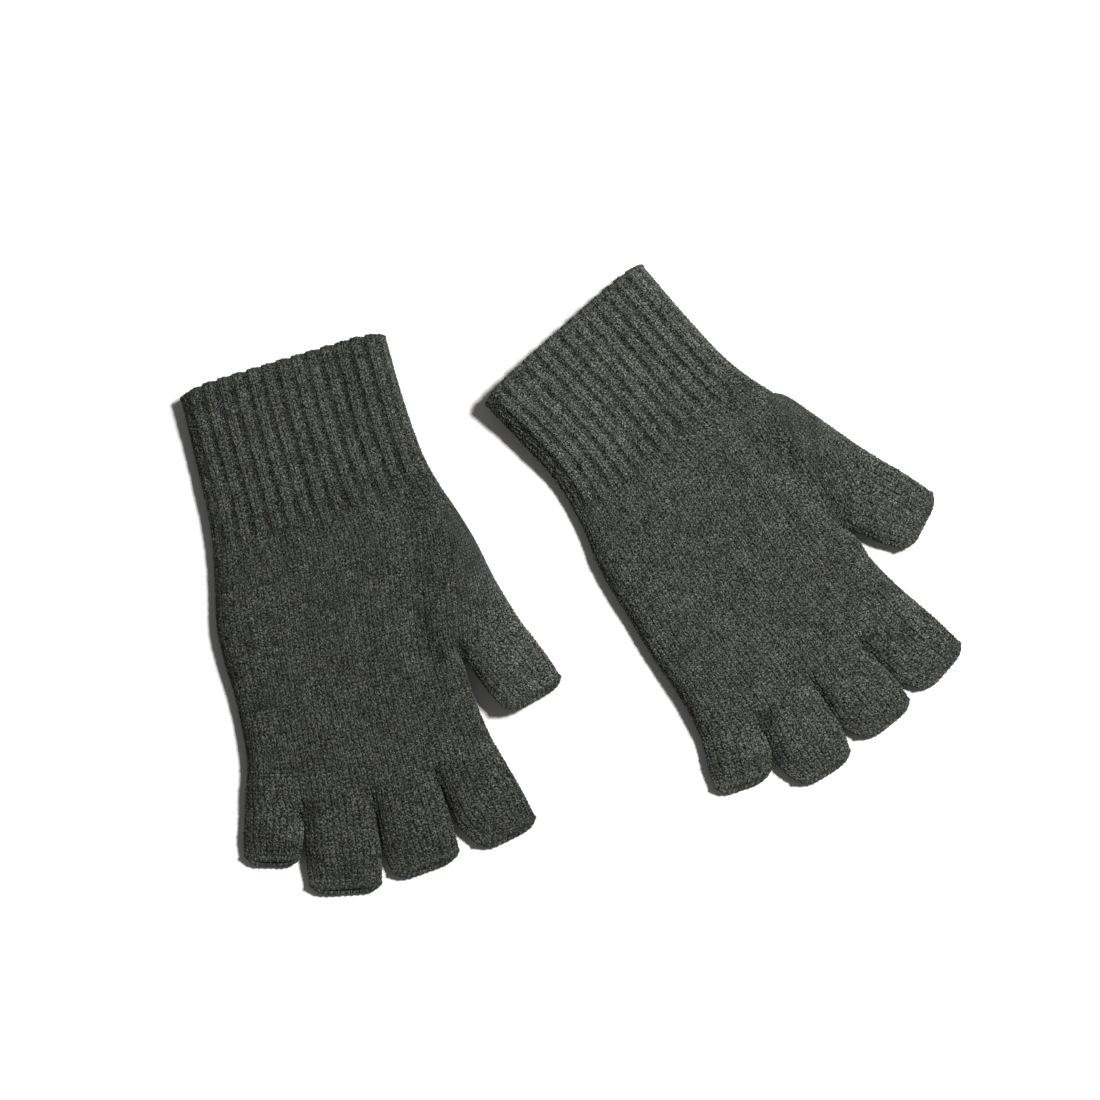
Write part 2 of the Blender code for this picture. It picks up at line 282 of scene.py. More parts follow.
# patterns along the knit: (scale across the wales, scale along the courses, detail, roughness)
LINT = (4.8, 3.2, 1.0, 0.60)
FLECK = (1.6, 1.8, 2.0, 0.60)
BROAD = (0.30, 0.20, 4.0, 0.60)
FIBRES = (13.0, 7.0, 2.0, 0.6)
FIBRE_STRENGTH = 0.7
FIBRE_HEIGHT = 0.00022
SHADE_SHARES = (0.80, 0.12, 0.08)  # of the lint, the flecks and each leg's own value
SHADE_STOPS = (0.415, 0.50, 0.597)  # for each of the yarn's shades
TINTS = (  # (pattern, value above which it shows, gain, colour)
    ((3.1, 2.2, 1.0, 0.50), 0.54, 6.0, YARN_TEAL),
    ((2.7, -2.4, 1.0, 0.50), 0.58, 7.0, YARN_BROWN),
)
TINT_SHARE = 0.55
SHEEN_TINT = (0.80, 0.86, 0.80, 1.0)
YARN_ROUGHNESS = 0.82
FLECK_ROUGHNESS = 0.16  # that a pale fleck adds
EDGE_PAINTED_LIGHT = 1.20  # painted light: how much paler the bound edges are painted than the knit
# painted shade: the joining yarn at the crotches is painted darker than the knit
JOINING_PAINTED_SHADE = 0.75
PAINTED_GROOVE_SHADE = 1.45  # painted shade and light: how much the relief paints shade into the grooves between the stitches and light onto the tops of their legs
GROOVE_LEVEL = 0.66  # the relief at which the painted shade and light leave the yarn's own colour
GROOVE_FLOOR = 0.06  # the darkest that the painted shade makes a groove
INNER_RELIEF = 0.45  # the relief that the inside of the cloth gets, which paints it in darker painted shade

# ---- camera, light and floor
CAMERA_ELEVATION_DEG = 82.0
CAMERA_DISTANCE = 1.30
CAMERA_FIELD_DEG = 18.03
CAMERA_AIM = (-0.0079, 0.0098, 0.0)
KEY_PLACE = (0.92, 0.44, 1.66)
KEY_SIZE = 0.31
KEY_POWER = 60.0
WORLD_STRENGTH = 0.12
FLOOR_HALF = 3.0
FLOOR_COLOUR = (0.875, 0.862, 0.852)

Cloth = namedtuple("Cloth", "outer base normal uv relief tone")  # grids of the same rows and columns


def clip01(x):
    return np.clip(x, 0.0, 1.0)


def smooth(x):
    x = clip01(x)
    return x * x * (3 - 2 * x)


def ease(x, start, end):
    """0 up to start, 1 from end on, and a smooth rise between them."""
    return smooth((x - start) / (end - start))


def unit(vectors):
    return vectors / np.linalg.norm(vectors, axis=-1, keepdims=True)


def joint(name):
    return next(j for j in frame["joints"] if j["name"] == name)


def linked(name, data):
    obj = bpy.data.objects.new(name, data)
    bpy.context.scene.collection.objects.link(obj)
    return obj


def lengths(points):
    """How far along a line of points each one lies."""
    return np.concatenate([[0], np.cumsum(np.linalg.norm(np.diff(points, axis=0), axis=1))])


def nearest(route, point):
    return int(np.argmin(np.linalg.norm(route - point, axis=1)))


def turned(points, angle):
    c, s = math.cos(angle), math.sin(angle)
    out = np.array(points, float)
    x, y = points[..., 0], points[..., 1]
    out[..., 0] = x * c - y * s
    out[..., 1] = x * s + y * c
    return out


def smooth_curve(points, count):
    """count points along a Catmull-Rom curve through the given ones, evenly spaced in length."""
    points = np.array(points, float)
    padded = np.vstack([2 * points[0] - points[1], points, 2 * points[-1] - points[-2]])
    t = np.linspace(0, 1, CURVE_STEPS, endpoint=False)[:, None]
    fine = []
    for i in range(len(points) - 1):
        p0, p1, p2, p3 = padded[i:i + 4]
        square, cube = 2 * p0 - 5 * p1 + 4 * p2 - p3, 3 * p1 - p0 - 3 * p2 + p3
        fine.append(0.5 * (2 * p1 + (p2 - p0) * t + square * t ** 2 + cube * t ** 3))
    fine = np.vstack([*fine, points[-1:]])
    length = lengths(fine)
    at = np.linspace(0, length[-1], count)
    return np.stack([np.interp(at, length, fine[:, k]) for k in range(fine.shape[1])], axis=1)


# ---- sections


def round_side(distance, reach):
    """0 at the side of a tube, rising as a quarter circle to 1 at reach."""
    q = clip01(distance / reach)
    return np.sqrt(np.maximum(0.0, 1 - (1 - q) ** 2))


def sloped_side(distance, reach):
    """0 at the side of a tube, rising straight to 1 at reach, with a soft turn at the top."""
    q = np.clip(distance / reach, 0.0, 2 - SLOPE_TURN)
    return q - np.maximum(0.0, q - SLOPE_TURN) ** 2 / (4 * (1 - SLOPE_TURN))


def lobe(at, low, high, reach, crown, flank=0.0):
    """The height, from 0 to 1, of a tube's section between low and high along its width."""
    width = high - low
    reach = min(reach, width / 2)
    across = clip01((at - low) / width)
    left = (1 - flank) * round_side(at - low, reach) + flank * sloped_side(at - low, FLANK_REACH)
    return left * round_side(high - at, reach) * (1 - crown * (2 * across - 1) ** 2)


def ring_of(top, under):
    """A closed ring of columns: the upper face from left to right, then the under face back."""
    return np.concatenate([top, under[1:-1][::-1]])


def top_of(ring):
    return ring[:len(ring) // 2 + 1]


def under_of(ring):
    return np.concatenate([ring[:1], ring[len(ring) // 2:][::-1]])


def place_section(corners, wales, heights, up):
    """One ring of points of a tube whose width runs along a line of corners in plan.

    heights(at, bounds) gives the share of the full height at a distance along the width.
    """
    corners = np.array(corners, float)
    bounds = lengths(corners)
    turn = (1 - np.cos(np.linspace(0, math.pi, SECTION_SAMPLES))) / 2
    faces = []
    for rise in (up, -DOWN):
        columns = []
        for i, count in enumerate(wales):
            at = bounds[i] + (bounds[i + 1] - bounds[i]) * turn
            outline = np.stack([at, rise * heights(at, bounds)], axis=1)
            length = lengths(outline)
            wanted = np.linspace(0, length[-1], count * CELLS_ACROSS + 1)
            part = [np.interp(wanted, length, outline[:, k]) for k in range(2)]
            columns.append(np.stack(part, axis=1)[min(i, 1):])
        across, height = np.vstack(columns).T
        plan = [np.interp(across, bounds, corners[:, k]) for k in range(2)]
        faces.append(np.column_stack([*plan, EDGE_HEIGHT + height]))
    return ring_of(*faces)


# ---- base surfaces


def split_dip(t):
    """How deep the valley towards a crotch is at share t of the section that ends there."""
    return (1 - FOLD_SHARE) * ease(t, 1 - SPLIT_FADE, 1) + FOLD_SHARE * ease(t, 1 - FOLD_FADE, 1)


def finger_lobes(at, b):
    """The four fingers side by side between the bounds b."""
    lobes = [
        np.where((at >= b[i]) & (at <= b[i + 1]), lobe(at, b[i], b[i + 1], DIGIT_ROUND, DIGIT_CROWN), 0)
        for i in range(len(FINGERS))
    ]
    return np.minimum(sum(lobes), 1)


def hand_grids(table):
    """(gusset, palm, roots): the hand down to the thumb's crotch, the rest, and the digits' corners."""
    first, second = (n * CELLS_ALONG for n in HAND_COURSES)
    left = smooth_curve(table["left_edge"], EDGE_STEPS)
    split_row = nearest(left, np.array(table["split_left"]))
    left_first = smooth_curve(left[:split_row + 1:EDGE_PICK], first + 1)
    left_first[-1] = left[split_row]
    left_second = smooth_curve(np.vstack([left[split_row:-1:EDGE_PICK], left[-1:]]), second + 1)
    right = smooth_curve(table["right_edge"], first + 1)
    index_side = smooth_curve(table["index_edge"], second + 1)
    thumb_crotch = index_side[0]

    # lines from the wrist to each crotch, which part the wales of the fingers and the thumb
    wrist_left = left_first[0]
    wrist_thumb = right[0] + (wrist_left - right[0]) * THUMB_SHARE
    shares = np.cumsum(FINGER_WALES[:-1]) / PALM_WALES
    upper_guides, lower_guides = [], []
    for share, crotch in zip(shares, table["crotches"]):
        start = wrist_left + (wrist_thumb - wrist_left) * share
        middle = left_first[-1] + (thumb_crotch - left_first[-1]) * share
        route = smooth_curve([start, middle, np.array(crotch)], GUIDE_STEPS)
        cut = nearest(route, middle)
        upper = smooth_curve(np.vstack([route[:cut:GUIDE_PICK], route[cut]]), first + 1)
        lower = smooth_curve(np.vstack([route[cut:-1:GUIDE_PICK], route[-1:]]), second + 1)
        upper[-1] = lower[0] = middle
        upper_guides.append(upper)
        lower_guides.append(lower)
    gusset_middle = wrist_thumb * (1 - THUMB_GUIDE) + thumb_crotch * THUMB_GUIDE + [THUMB_GUIDE_BEND, 0]
    thumb_guide = smooth_curve([wrist_thumb, gusset_middle, thumb_crotch], first + 1)

    gusset_lines = [left_first, *upper_guides, thumb_guide, right]
    palm_lines = [left_second, *lower_guides, index_side]

    def gusset_ring(row):
        dip = split_dip(row / first)

        def heights(at, b):
            whole = lobe(at, b[0], b[5], HAND_ROUND, HAND_CROWN)
            palm = lobe(at, b[0], b[4], HAND_ROUND, HAND_CROWN)
            thumb = lobe(at, b[4], b[5], DIGIT_ROUND, DIGIT_CROWN) * UP_DIGIT / UP_HAND
            return whole * (1 - dip) + dip * np.where(at <= b[4], palm, thumb)

        return place_section([line[row] for line in gusset_lines], WALES.values(), heights, UP_HAND)

    def palm_ring(row):
        dip = split_dip(row / second)

        def heights(at, b):
            whole = lobe(at, b[0], b[4], HAND_ROUND, HAND_CROWN)
            return whole * (1 - dip) + dip * finger_lobes(at, b) * UP_DIGIT / UP_HAND

        return place_section([line[row] for line in palm_lines], FINGER_WALES, heights, UP_HAND)

    gusset = np.array([gusset_ring(row) for row in range(first + 1)])
    palm = np.array([palm_ring(row) for row in range(second + 1)])
    ends = [line[-1] for line in palm_lines]
    roots = {name: (ends[i], ends[i + 1]) for i, name in enumerate(FINGERS)}
    roots["thumb"] = (thumb_crotch, right[-1])
    return gusset, palm, roots


def digit_grid(name, root, end, bellies, lift):
    """The base surface of a finger or thumb tube, from its root ring to its mouth."""
    (left0, right0), (left1, right1) = np.array(root), np.array(end)
    across = unit(right1 - left1)
    ahead = ((left1 + right1) - (left0 + right0)) / 2
    rows = max(SHORTEST_DIGIT, round(np.linalg.norm(ahead) / COURSE)) * CELLS_ALONG
    rings = []
    for row in range(rows + 1):
        t = row / rows
        swell = math.sin(math.pi * t ** 1.5)
        left = left0 + (left1 - left0) * t - across * bellies[0] * swell
        right = right0 + (right1 - right0) * t + across * bellies[1] * swell
        crown = DIGIT_CROWN * (1 + CROWN_GAIN * ease(t, 0, 0.35))

        def heights(at, b):
            return lobe(at, b[0], b[1], DIGIT_ROUND, crown)

        up = UP_DIGIT * (1 - MOUTH_SAG * ease(t, MOUTH_START, 1))
        rings.append(place_section([left, right], [WALES[name]], heights, up))
    grid = np.array(rings)

    # the mouth's corners are drawn in, and its upper layer ends before the under one
    t = np.linspace(0, 1, rows + 1)[:, None]
    half = np.linalg.norm(right1 - left1) / 2
    side = (grid[:, :, :2] - (left1 + right1) / 2) @ across / half
    level = clip01((grid[:, :, 2] - FLOOR_GAP) / (DOWN + UP_DIGIT * (1 - MOUTH_SAG)))
    pull = np.where(side < 0, *MOUTH_CORNERS) * clip01(np.abs(side)) ** 5
    pull = pull + MOUTH_STEP * (smooth(level) - 0.5)
    grid[:, :, :2] -= unit(ahead) * (pull * ease(t, MOUTH_START, 1))[..., None]
    from_right = clip01(0.5 - (grid[:, :, :2] - (left1 + right1) / 2) @ across / (2 * half))
    grid[:, :, 2] += lift * ease(t, 0, 0.8) * smooth(from_right)
    return grid


def cuff_grid(table):
    """The base surface of the cuff piece in the cuff's own frame, from the hand's side of the fold."""
    left_points, right_points = table["cuff_left"], table["cuff_right"]
    rows = round((left_points[-1][1] - left_points[0][1]) / COURSE) * CELLS_ALONG
    left = smooth_curve(left_points, rows + 1)
    right = smooth_curve(right_points, rows + 1)
    rings = []
    for row in range(rows + 1):
        y = (left[row][1] + right[row][1]) / 2
        up = UP_HAND + (table["cuff_mouth_top"] - HAND_TOP) * ease(y, *CUFF_RISE)
        flank = table["cuff_flank"] * ease(y, *FLANK_START) * (1 - FLANK_LOSS * ease(y, *FLANK_END))

        def heights(at, b):
            return lobe(at, b[0], b[1], HAND_ROUND, HAND_CROWN, flank)

        rings.append(place_section([left[row], right[row]], [CUFF_WALES], heights, up))
    grid = np.array(rings)
    x, y = grid[:, :, 0], grid[:, :, 1]
    grid[:, :, 2] += table["cuff_lift"] * ease(y, *CUFF_LIFT) ** 1.3 * ease(x, *CUFF_LIFT_ACROSS)
    grid[:, :, 1] -= CUFF_CORNER_PULL * clip01(np.abs(x) / CUFF_HALF) ** 6 * ease(y, *CUFF_CORNER)
    return grid


def undulate(grid, phase):
    """Soft unevenness of loose cloth: more on top than where it touches the table."""
    x, y, z = grid[..., 0], grid[..., 1], grid[..., 2]
    waves = sum(
        share * np.sin(across * x + along * y + turns * phase + start)
        for share, across, along, turns, start in WAVES
    )
    grid[..., 2] += WAVE_HEIGHT * waves * ease(z, *WAVE_HEIGHTS)


def press_creases(grid, creases):
    """Soft valleys pressed into the upper layer along lines; a ridge where the depth is negative."""
    at = np.linspace(0, 1, CREASE_STEPS)
    fade = ease(at, 0, 0.25) * ease(at, 1, 0.75)
    share = ease(grid[..., 2], *CREASE_HEIGHTS)
    for points, depth, width in creases:
        field = np.zeros(grid.shape[:2])
        for spot, weight in zip(smooth_curve(points, CREASE_STEPS), fade):
            distance = (grid[..., 0] - spot[0]) ** 2 + (grid[..., 1] - spot[1]) ** 2
            field = np.maximum(field, weight * np.exp(-distance / (2 * width ** 2)))
        grid[..., 2] -= depth * field * share


def ring_normals(grid, before=None, after=None):
    """Outward normals of a closed-ring grid, using a ghost row past either end where one is given."""
    ghosts = [grid[:0] if row is None else row[None] for row in (before, after)]
    rows = np.concatenate([ghosts[0], grid, ghosts[1]])
    across = (np.roll(rows, -1, axis=1) - np.roll(rows, 1, axis=1)) / 2
    normal = np.cross(np.gradient(rows, axis=0), across)
    normal /= np.maximum(np.linalg.norm(normal, axis=2, keepdims=True), 1e-12)
    return normal[len(ghosts[0]):len(ghosts[0]) + len(grid)]


# ---- relief of the stitches


def stitch_coordinates(grid, first_course, first_wale, mirror, step):
    """(wale, course) at every point of a grid; the under face counts its wales back from mirror."""
    rows, cols = grid.shape[:2]
    ring = first_wale + np.arange(cols) / CELLS_ACROSS
    count = cols // 2
    ring[count + 1:] = mirror - ring[1:count][::-1]
    wale = ring + np.zeros((rows, 1))
    course = first_course + step * np.arange(rows)[:, None] / CELLS_ALONG + np.zeros((1, cols))
    return wale, course


def stitch_relief(wale, course, loop_heights):
    """Height, from 0 to about 1, of plain knit."""
    column = np.floor(wale).astype(int)
    q = np.abs(wale - column - 0.5) * 2
    leg = 0.30 + 0.70 * np.sin(math.pi * (0.18 + 0.82 * clip01(q))) ** 0.75
    phase = course - STITCH_SLANT * q
    row = np.floor(phase).astype(int)
    loop = np.sin(math.pi * (phase - row)) ** 0.8
    side = ((wale - column) >= 0.5).astype(int)
    vary = loop_heights[(column * 2 + side) % loop_heights.shape[0], row % loop_heights.shape[1]]
    return leg * (0.33 + 0.67 * loop) * (0.80 + 0.40 * vary)


def purl_relief(wale, course):
    """The back of a knit stitch: two low arcs one above the other."""
    q = np.abs((wale % 1) - 0.5) * 2
    phase = course + 0.25 * (1 - q ** 2)
    return 0.25 + 0.45 * np.abs(np.sin(math.pi * phase))


def rib_relief(wale, course, loop_heights):
    """(fine relief, rib height) of a rib of two knit wales and one purl wale."""
    centre = np.abs(wale % RIB_WALES - RIB_WALES / 2)  # 0 in the middle of the two knit wales
    centre = centre + 0.07 * np.sin(2 * math.pi * course)
    knit = 1 - ease(centre, 0.62, 1.42)
    fine = knit * stitch_relief(wale + 0.5, course, loop_heights)
    fine = fine + (1 - knit) * purl_relief(wale, course) * 0.7
    return fine, knit * (1 - 0.16 * clip01(centre) ** 2)


# ---- meshes


def mesh_from(name, points, faces, uv, relief, tone=None, mirror=None):
    """A smooth-shaded object; where mirror is given, a face that closes the ring counts its wales on."""
    mesh = bpy.data.meshes.new(name)
    faces = [np.asarray(f) for f in faces]
    loops = np.concatenate([f.ravel() for f in faces]).astype(np.int32)
    sizes = np.concatenate([np.full(len(f), f.shape[1]) for f in faces]).astype(np.int32)
    mesh.vertices.add(len(points))
    mesh.vertices.foreach_set("co", np.asarray(points, np.float32).ravel())
    mesh.loops.add(len(loops))
    mesh.loops.foreach_set("vertex_index", loops)
    mesh.polygons.add(len(sizes))
    starts = np.concatenate([[0], np.cumsum(sizes)[:-1]]).astype(np.int32)
    mesh.polygons.foreach_set("loop_start", starts)
    mesh.polygons.foreach_set("use_smooth", np.ones(len(sizes), bool))
    mesh.update(calc_edges=True)
    mesh.validate()
    used = np.zeros(len(mesh.loops), np.int32)
    mesh.loops.foreach_get("vertex_index", used)
    values = np.asarray(uv, np.float32)[used]
    if mirror is not None:
        first = np.zeros(len(mesh.polygons), np.int32)
        mesh.polygons.foreach_get("loop_start", first)
        spread = np.maximum.reduceat(values[:, 0], first) - np.minimum.reduceat(values[:, 0], first)
        corners = np.diff(np.append(first, len(values)))
        torn = np.repeat(spread > TORN_SPREAD, corners) & (values[:, 0] < mirror / 2)
        values[torn, 0] = mirror - values[torn, 0]
    mesh.uv_layers.new(name="stitch").data.foreach_set("uv", values.ravel())
    if tone is None:
        tone = np.ones(len(points))
    for key, data in (("relief", relief), ("tone", tone)):
        mesh.attributes.new(key, "FLOAT", "POINT").data.foreach_set("value", np.asarray(data, np.float32))
    return linked(name, mesh)


def grid_faces(rows, cols, offset, closed, flip=False):
    """Quads of a grid of rows by cols points, joined round where closed."""
    r = np.arange(rows - 1)[:, None]
    c = np.arange(cols if closed else cols - 1)
    n = (c + 1) % cols
    quads = np.stack([r * cols + c, (r + 1) * cols + c, (r + 1) * cols + n, r * cols + n], axis=-1)
    quads = quads.reshape(-1, 4) + offset
    return quads[:, ::-1] if flip else quads


def zip_strip(fine, coarse, closed, flip):
    """Triangles between a fine edge and a coarse one with a point for every few of its points."""
    spans = len(coarse) if closed else len(coarse) - 1
    per = len(fine) // spans
    triangles = []
    for i in range(spans):
        a, b = coarse[i], coarse[(i + 1) % len(coarse)]
        for step in range(i * per, (i + 1) * per):
            triangles.append((a, fine[step], fine[(step + 1) % len(fine)]))
        triangles.append((a, fine[((i + 1) * per) % len(fine)], b))
    triangles = np.array(triangles)
    return triangles[:, ::-1] if flip else triangles


def shell(name, cloth, mirror=None):
    """A closed piece of cloth: the fine outer face, a plain inner face, and edges that join them.

    The cloth is a closed ring where mirror is given, and else a sheet with two sides.
    """
    closed = mirror is not None
    inner, base, uv, tone = (
        values[::CELLS_ALONG, ::CELLS_ACROSS]
        for values in (cloth.base - cloth.normal * FABRIC, cloth.base, cloth.uv, cloth.tone)
    )
    z = inner[..., 2]
    over = base[..., 2] >= EDGE_HEIGHT
    z[:] = np.where(over, np.maximum(z, EDGE_HEIGHT + LAYER_GAP), np.minimum(z, EDGE_HEIGHT - LAYER_GAP))
    rows, cols = cloth.outer.shape[:2]
    inner_rows, inner_cols = inner.shape[:2]
    start = rows * cols
    fine = np.arange(start).reshape(rows, cols)
    coarse = start + np.arange(inner_rows * inner_cols).reshape(inner_rows, inner_cols)
    faces = [
        grid_faces(rows, cols, 0, closed),
        grid_faces(inner_rows, inner_cols, start, closed, flip=True),
        zip_strip(fine[0], coarse[0], closed, flip=False),
        zip_strip(fine[-1], coarse[-1], closed, flip=True),
    ]
    if not closed:
        faces.append(zip_strip(fine[:, 0], coarse[:, 0], closed, flip=True))
        faces.append(zip_strip(fine[:, -1], coarse[:, -1], closed, flip=False))
    return mesh_from(
        name,
        np.concatenate([cloth.outer.reshape(-1, 3), inner.reshape(-1, 3)]),
        faces,
        np.concatenate([cloth.uv.reshape(-1, 2), uv.reshape(-1, 2)]),
        # painted shade: the inner face takes INNER_RELIEF, which the yarn paints darker
        np.concatenate([cloth.relief.ravel(), np.full(coarse.size, INNER_RELIEF)]),
        np.concatenate([cloth.tone.ravel(), tone.ravel()]),
        mirror,
    )


def rim(name, centres, out, along, wales, rng):
    """A bound edge round a mouth: a closed tube with the slanting bumps of its stitches."""
    count = len(centres)
    angle = np.linspace(0, 2 * math.pi, LIP_SIDES, endpoint=False)
    w = np.arange(count) / count * wales
    stitch = 2 * math.pi * w[:, None]
    bump = 0.12 * np.cos(stitch + angle) + 0.06 * np.cos(2 * stitch - angle)
    bump = bump + 0.07 * rng.normal(size=bump.shape)
    ring = out[:, None] * np.cos(angle)[:, None] + along[:, None] * np.sin(angle)[:, None]
    points = centres[:, None] + ring * (LIP_RADIUS * (1 + bump))[..., None]
    i = np.arange(count)[:, None] * LIP_SIDES
    i1 = (i + LIP_SIDES) % (count * LIP_SIDES)
    j = np.arange(LIP_SIDES)
    j1 = (j + 1) % LIP_SIDES
    quads = np.stack([i + j, i + j1, i1 + j1, i1 + j], axis=-1).reshape(-1, 4)
    uv = np.stack([np.repeat(w, LIP_SIDES), np.tile(angle / math.pi, count) + LIP_TURNS], axis=1)
    # painted shade: the relief value follows the bumps, so the edge is painted darker in its hollows and
    # paler on its bumps
    return mesh_from(name, points.reshape(-1, 3), [quads], uv, clip01(0.55 + bump.ravel() * 2))


def bights(root, ahead, across):
    """(points, faces, uv) of a few small loops of yarn that draw two tubes together at a crotch."""
    points, faces, uv = [], [], []
    turn = np.linspace(0, 2 * math.pi, BIGHT_SIDES, endpoint=False)
    s = np.linspace(0, math.pi, BIGHT_STEPS)
    for k, (reach, height) in enumerate(BIGHTS):
        foot = across * BIGHT_HALF_SPAN + ahead * BIGHT_LEAN * (-1) ** k
        plan = root + ahead * reach + foot * np.cos(s)[:, None]
        path = np.column_stack([plan, BIGHT_FOOT + (height - BIGHT_FOOT) * np.sin(s)])
        side = np.array([*ahead, 0.0])
        other = np.cross(unit(np.gradient(path, axis=0)), side)
        radius = BIGHT_RADIUS * (1 + 0.10 * np.cos(3 * turn + 5 * s[:, None]))
        ring = side * np.cos(turn)[:, None] + other[:, None] * np.sin(turn)[:, None]
        start = len(points)
        points.extend((path[:, None] + radius[..., None] * ring).reshape(-1, 3))
        cap = start + np.arange(BIGHT_SIDES)[None, :]
        far_cap = cap[:, ::-1] + (BIGHT_STEPS - 1) * BIGHT_SIDES
        faces += [grid_faces(BIGHT_STEPS, BIGHT_SIDES, start, True), cap, far_cap]
        turns = np.tile(turn / math.pi, BIGHT_STEPS) + BIGHT_TURNS + 3 * k
        uv.extend(np.stack([turns, np.repeat(s, BIGHT_SIDES)], axis=1))
    return np.array(points), faces, np.array(uv)


# ---- materials


class Shading:
    """Short ways to make and join the nodes of one material."""

    def __init__(self, name):
        self.material = bpy.data.materials.new(name)
        self.material.use_nodes = True
        self.tree = self.material.node_tree
        self.shader = self.tree.nodes["Principled BSDF"]

    def feed(self, node, inputs):
        """Joins an output to each of these inputs of a node, or gives it a value of its own."""
        for key, value in inputs.items():
            if isinstance(value, bpy.types.NodeSocket):
                self.tree.links.new(value, node.inputs[key])
            else:
                node.inputs[key].default_value = value

    def node(self, kind, inputs, output=0, **settings):
        """One output of a new node."""
        made = self.tree.nodes.new(kind)
        for key, value in settings.items():
            setattr(made, key, value)
        self.feed(made, inputs)
        return made.outputs[output]

    def maths(self, operation, a, b=0.5, clamp=False):
        return self.node("ShaderNodeMath", {0: a, 1: b}, operation=operation, use_clamp=clamp)

    def vector(self, x, y):
        return self.node("ShaderNodeCombineXYZ", {0: x, 1: y})

    def mix(self, kind, factor, a, b):
        inputs = {0: factor, 6: a, 7: b}
        return self.node("ShaderNodeMix", inputs, 2, data_type="RGBA", blend_type=kind)

    def darkened(self, colour, value):
        grey = self.node("ShaderNodeCombineColor", {0: value, 1: value, 2: value})
        return self.mix("MULTIPLY", 1.0, colour, grey)

    def attribute(self, name):
        return self.node("ShaderNodeAttribute", {}, "Fac", attribute_name=name)

    def ramp(self, value, stops):
        colour = self.node("ShaderNodeValToRGB", {0: value})
        elements = colour.node.color_ramp.elements
        while len(elements) < len(stops):
            elements.new(0.5)
        for element, (position, shade) in zip(elements, stops):
            element.position = position
            element.color = shade
        return colour


def stitch_patterns(shading):
    """(pattern, leg value): noise laid along the stitches, and a value for each leg of a stitch."""
    maths = shading.maths
    uv = shading.node("ShaderNodeUVMap", {}, uv_map="stitch")
    wale = shading.node("ShaderNodeSeparateXYZ", {0: uv})
    course = wale.node.outputs[1]
    q = maths("MULTIPLY", maths("ABSOLUTE", maths("SUBTRACT", maths("FRACT", wale), 0.5)), 2.0)
    phase = maths("SUBTRACT", course, maths("MULTIPLY", q, STITCH_SLANT))
    leg = shading.vector(maths("FLOOR", maths("MULTIPLY", wale, 2.0)), maths("FLOOR", phase))

    def pattern(across, along, detail, roughness):
        where = shading.vector(maths("MULTIPLY", wale, across), maths("MULTIPLY", phase, along))
        inputs = {"Vector": where, "Scale": 1.0, "Detail": detail, "Roughness": roughness}
        return shading.node("ShaderNodeTexNoise", inputs, noise_dimensions="2D")

    return pattern, shading.node("ShaderNodeTexWhiteNoise", {0: leg}, noise_dimensions="3D")


def yarn_colour(shading, pattern, fleck, leg_value, tone):
    """Dark, middle and pale wool with spots of two faint colours, with painted shade in the grooves and
    painted light on the tops of the stitches.
    """
    maths = shading.maths

    def toned(colour):
        return (*(tone * c for c in colour), 1.0)

    values = (pattern(*LINT), fleck, leg_value)
    lint, flecks, legs = (maths("MULTIPLY", value, share) for value, share in zip(values, SHADE_SHARES))
    shade = maths("ADD", maths("ADD", lint, flecks), legs)
    colour = shading.ramp(shade, [(at, toned(c)) for at, c in zip(SHADE_STOPS, YARN_SHADES)])
    for spots, start, gain, tint in TINTS:
        share = maths("MULTIPLY", maths("SUBTRACT", pattern(*spots), start, clamp=True), gain, clamp=True)
        colour = shading.mix("MIX", maths("MULTIPLY", share, TINT_SHARE), colour, toned(tint))
    # painted shade and light: the relief darkens the grooves and lightens the tops of the stitches
    groove = maths("MULTIPLY", shading.attribute("relief"), PAINTED_GROOVE_SHADE)
    groove = maths("ADD", groove, 1 - GROOVE_LEVEL * PAINTED_GROOVE_SHADE)
    colour = shading.darkened(colour, maths("MAXIMUM", groove, GROOVE_FLOOR))
    broad = maths("ADD", pattern(*BROAD), 0.5)
    # the tone attribute carries the painted light that makes the thumb paler, and the cuff's paler colour
    return shading.darkened(colour, maths("MULTIPLY", broad, shading.attribute("tone")))


def yarn_material(name, tone):
    """Heathered woollen yarn with flecks and fibres laid along its stitches."""
    shading = Shading(name)
    pattern, leg_value = stitch_patterns(shading)
    fleck = pattern(*FLECK)
    rougher = shading.maths("MULTIPLY", fleck, FLECK_ROUGHNESS)
    fibres = {"Strength": FIBRE_STRENGTH, "Distance": FIBRE_HEIGHT, "Height": pattern(*FIBRES)}
    shading.feed(shading.shader, {
        "Base Color": yarn_colour(shading, pattern, fleck, leg_value, tone),
        "Roughness": shading.maths("ADD", rougher, YARN_ROUGHNESS),
        "Specular IOR Level": 0.10,
        "Sheen Weight": 0.05,
        "Sheen Roughness": 0.55,
        "Sheen Tint": SHEEN_TINT,
        "Normal": shading.node("ShaderNodeBump", fibres),
    })
    return shading.material


def paper_material():
    shading = Shading("floor_paper")
    looks = {"Base Color": (*FLOOR_COLOUR, 1.0), "Roughness": 0.9, "Specular IOR Level": 0.2}
    shading.feed(shading.shader, looks)
    return shading.material


# ---- gloves


def bend(name, reach):
    """(start, end) of the bend at a fold joint, from the still side to the moving one."""
    fold = joint(name)
    hinge = np.array(fold["pos_m"], float)
    outward = np.array([-fold["axis"][1], fold["axis"][0], 0.0])
    return hinge - outward * reach, hinge + outward * reach


def joined_rings(rings):
    """One ring round tubes that lie side by side."""
    tops = [top_of(ring)[min(k, 1):] for k, ring in enumerate(rings)]
    unders = [under_of(ring)[min(k, 1):] for k, ring in enumerate(rings)]
    return ring_of(np.concatenate(tops), np.concatenate(unders))


